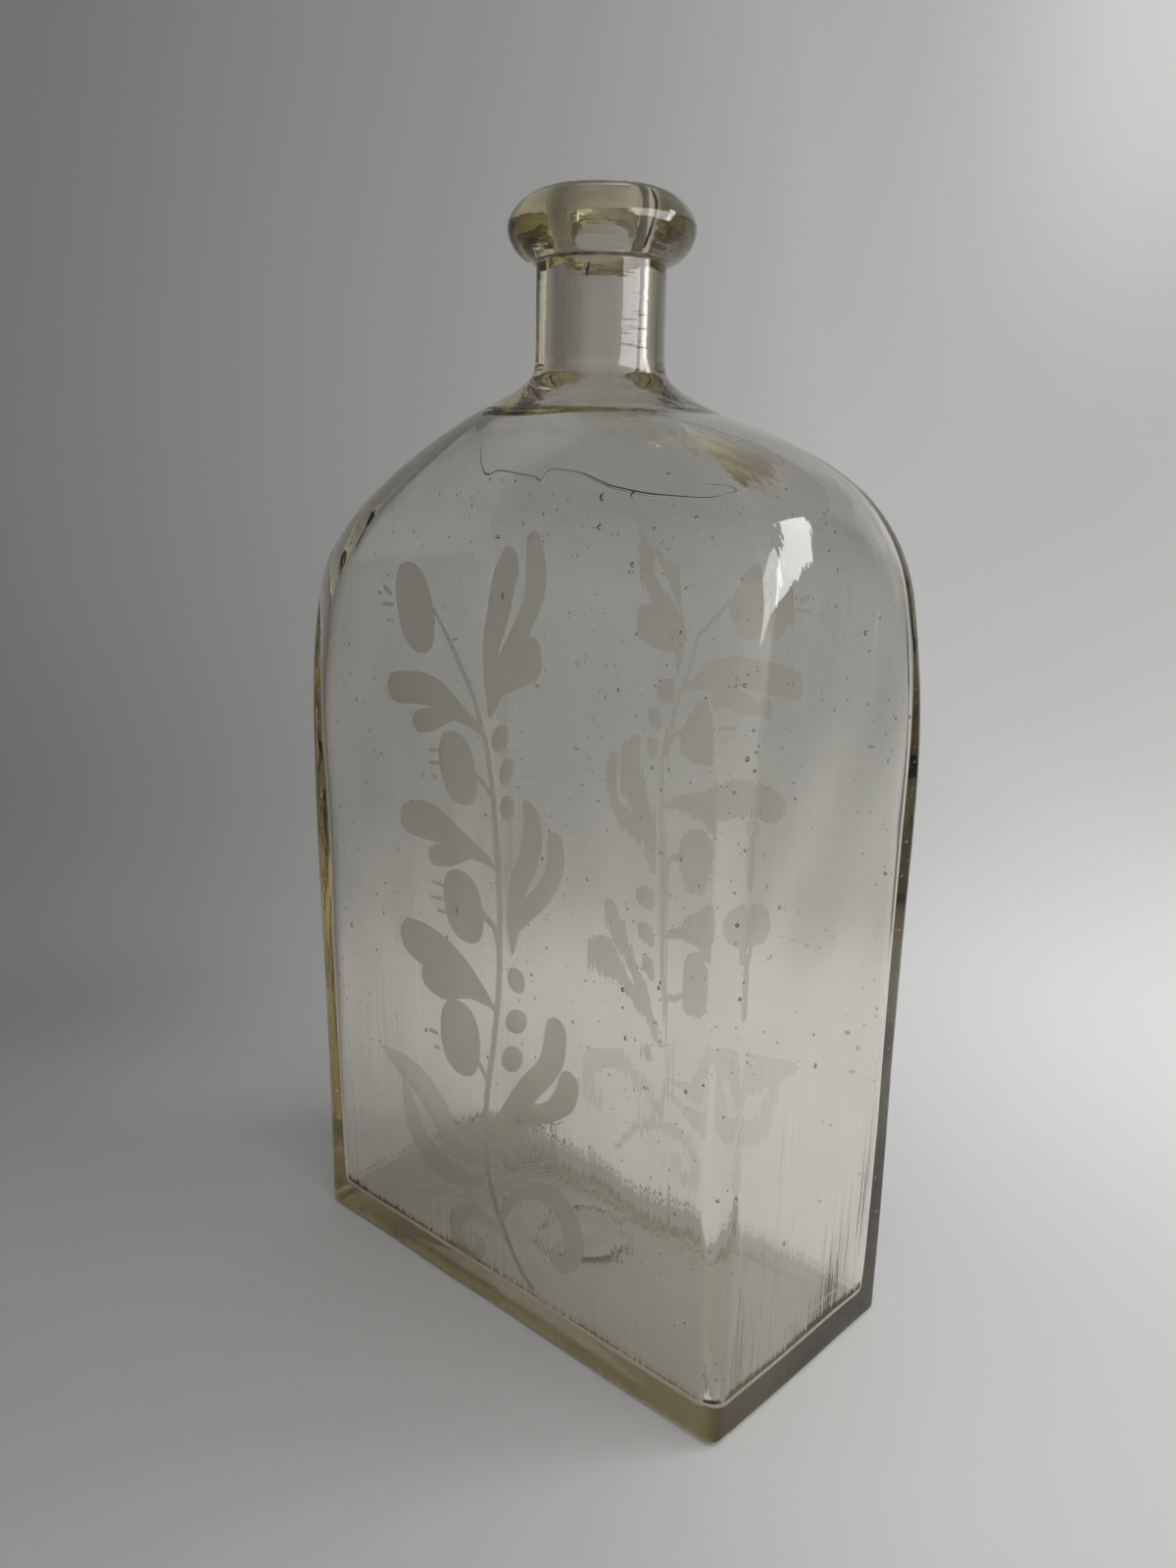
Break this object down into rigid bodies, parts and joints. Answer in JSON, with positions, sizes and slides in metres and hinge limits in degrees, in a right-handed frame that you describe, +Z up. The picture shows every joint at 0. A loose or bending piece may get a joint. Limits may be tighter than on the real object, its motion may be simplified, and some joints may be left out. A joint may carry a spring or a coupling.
{
  "type": "spirit bottle",
  "caption": "Hand-blown flat-sided glass spirit bottle with arched shoulders, a short round neck and an applied bead lip.",
  "frame": {"origin": "middle of the base, on the surface that the bottle stands on", "axes": "+Z up along the neck, X along the wide faces, the engraved wide faces look along -Y and +Y"},
  "size_m": [0.124, 0.0628, 0.233],
  "materials": {
    "bottle_glass": "clear hand-blown glass with a faint straw tint, seeds and cords, wheel-engraved matt foliage on both wide faces",
    "lip_glass": "thick clear glass, stronger olive tint where it is deep"
  },
  "bodies": {
    "root": {"blown_body": "bottle_glass", "applied_lip": "lip_glass"}
  },
  "joints": []
}
